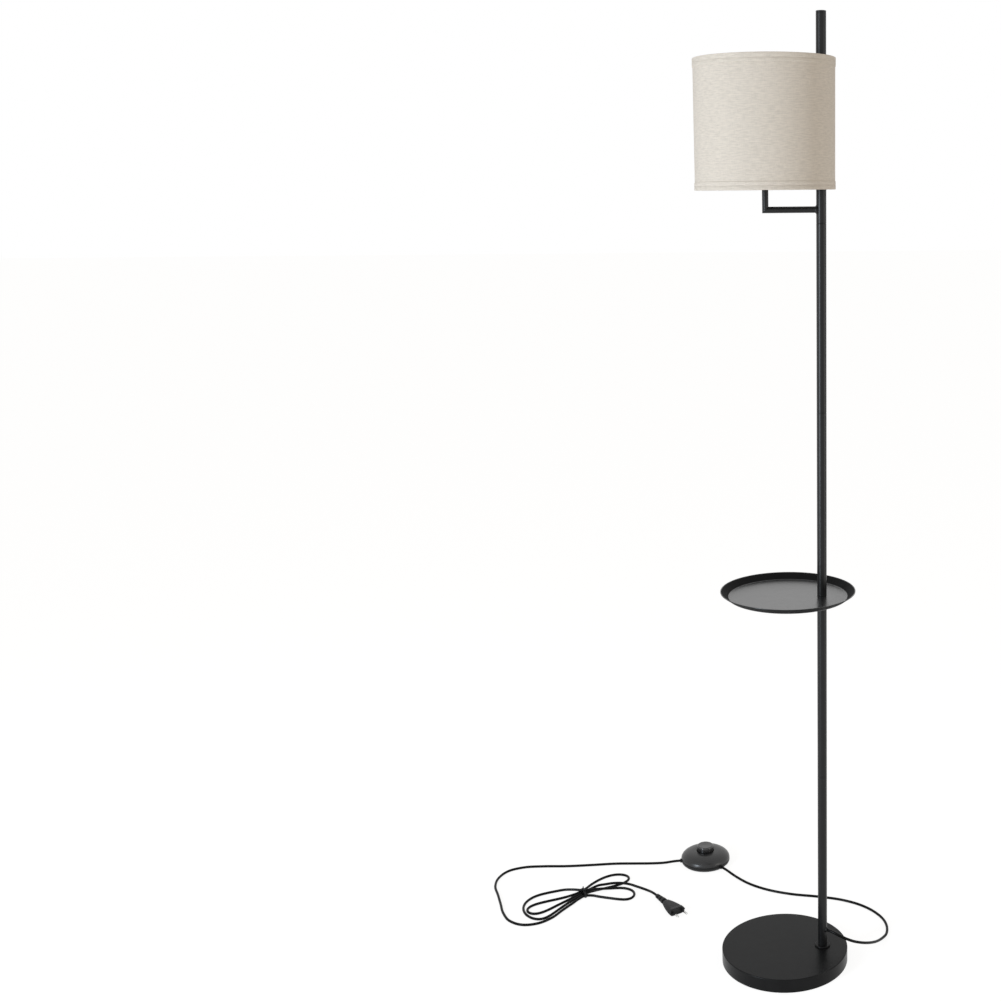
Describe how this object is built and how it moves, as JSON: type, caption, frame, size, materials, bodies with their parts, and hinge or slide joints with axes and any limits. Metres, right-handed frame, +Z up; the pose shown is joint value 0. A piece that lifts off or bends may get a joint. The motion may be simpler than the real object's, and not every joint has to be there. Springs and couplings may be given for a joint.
{
  "type": "floor lamp with tray table",
  "caption": "Floor lamp with a weighted round base, a straight sectional pole, a round tray table, a drum shade on a short side arm, a foot switch and a bundled cord with a flat plug.",
  "frame": {"origin": "centre of the base's underside, on the floor", "axes": "+Z up along the pole, +X from the base's axis towards the pole, +Y away from the viewer of the picture"},
  "size_m": [0.7636, 0.527, 1.6],
  "materials": {
    "black_powder": "matt black powder coat",
    "cast_weight": "rough casting",
    "base_felt": "matt foam sheet",
    "zinc_steel": "zinc plated",
    "holder_plastic": "black moulding, half matt",
    "white_cable": "white cable sheath",
    "steatite": "unglazed insulating block",
    "contact_brass": "stamped brass",
    "opal_glass": "opal glass",
    "cap_alloy": "rolled screw cap",
    "white_wire": "white coated wire",
    "clip_white": "white moulding",
    "white_liner": "smooth white sheet",
    "beige_linen": "plain linen weave",
    "cord_black": "black cord sheath",
    "tie_black": "black tie",
    "switch_plastic": "black moulding, satin",
    "module_grey": "grey moulding",
    "plug_plastic": "black moulding",
    "pin_metal": "nickel plated pin"
  },
  "bodies": {
    "lamp": {"base_cover": "black_powder", "base_weight": "cast_weight", "base_pad": "base_felt", "base_stud": "zinc_steel", "base_washer": "zinc_steel", "base_nut": "zinc_steel", "pole_collar": "black_powder", "pole_section_1": "black_powder", "pole_section_2": "black_powder", "pole_section_3": "black_powder", "pole_section_4": "black_powder", "pole_section_5": "black_powder", "pole_bushes": "zinc_steel", "pole_stud_1": "zinc_steel", "pole_stud_2": "zinc_steel", "pole_stud_3": "zinc_steel", "pole_stud_4": "zinc_steel", "top_cap": "black_powder", "cord_bush": "holder_plastic", "tray": "black_powder", "arm": "black_powder", "inner_cable": "white_cable", "holder_nut": "holder_plastic", "holder_cup": "holder_plastic", "holder_carrier": "steatite", "holder_shell": "contact_brass", "holder_contact": "contact_brass", "holder_terminals": "contact_brass", "holder_sleeve": "holder_plastic", "shade_nut": "holder_plastic", "bulb_glass": "opal_glass", "bulb_cap": "cap_alloy", "bulb_tip": "contact_brass", "shade_spider": "white_wire", "shade_ring": "white_wire", "shade_clips": "clip_white", "shade_liner": "white_liner", "shade_fabric": "beige_linen", "shade_trim_top": "beige_linen", "shade_trim_bottom": "beige_linen", "cord_to_switch": "cord_black", "cord_to_hank": "cord_black", "cord_hank": "cord_black", "cord_tail": "cord_black", "cord_tie": "tie_black", "switch_base": "switch_plastic", "switch_cover": "switch_plastic", "switch_spring": "zinc_steel", "switch_module": "module_grey", "switch_clamps": "module_grey", "switch_screws": "zinc_steel", "plug_body": "plug_plastic", "plug_pins": "pin_metal", "plug_sleeves": "plug_plastic"},
    "button": {"switch_button": "switch_plastic"}
  },
  "joints": [
    {"name": "button_press", "type": "slide", "parent": "lamp", "child": "button", "axis": [0, 0, -1], "range_m": [0, 0.004], "stiffness_N_per_m": 1500, "springref_m": -0.002, "deforming": ["switch_spring"]}
  ]
}
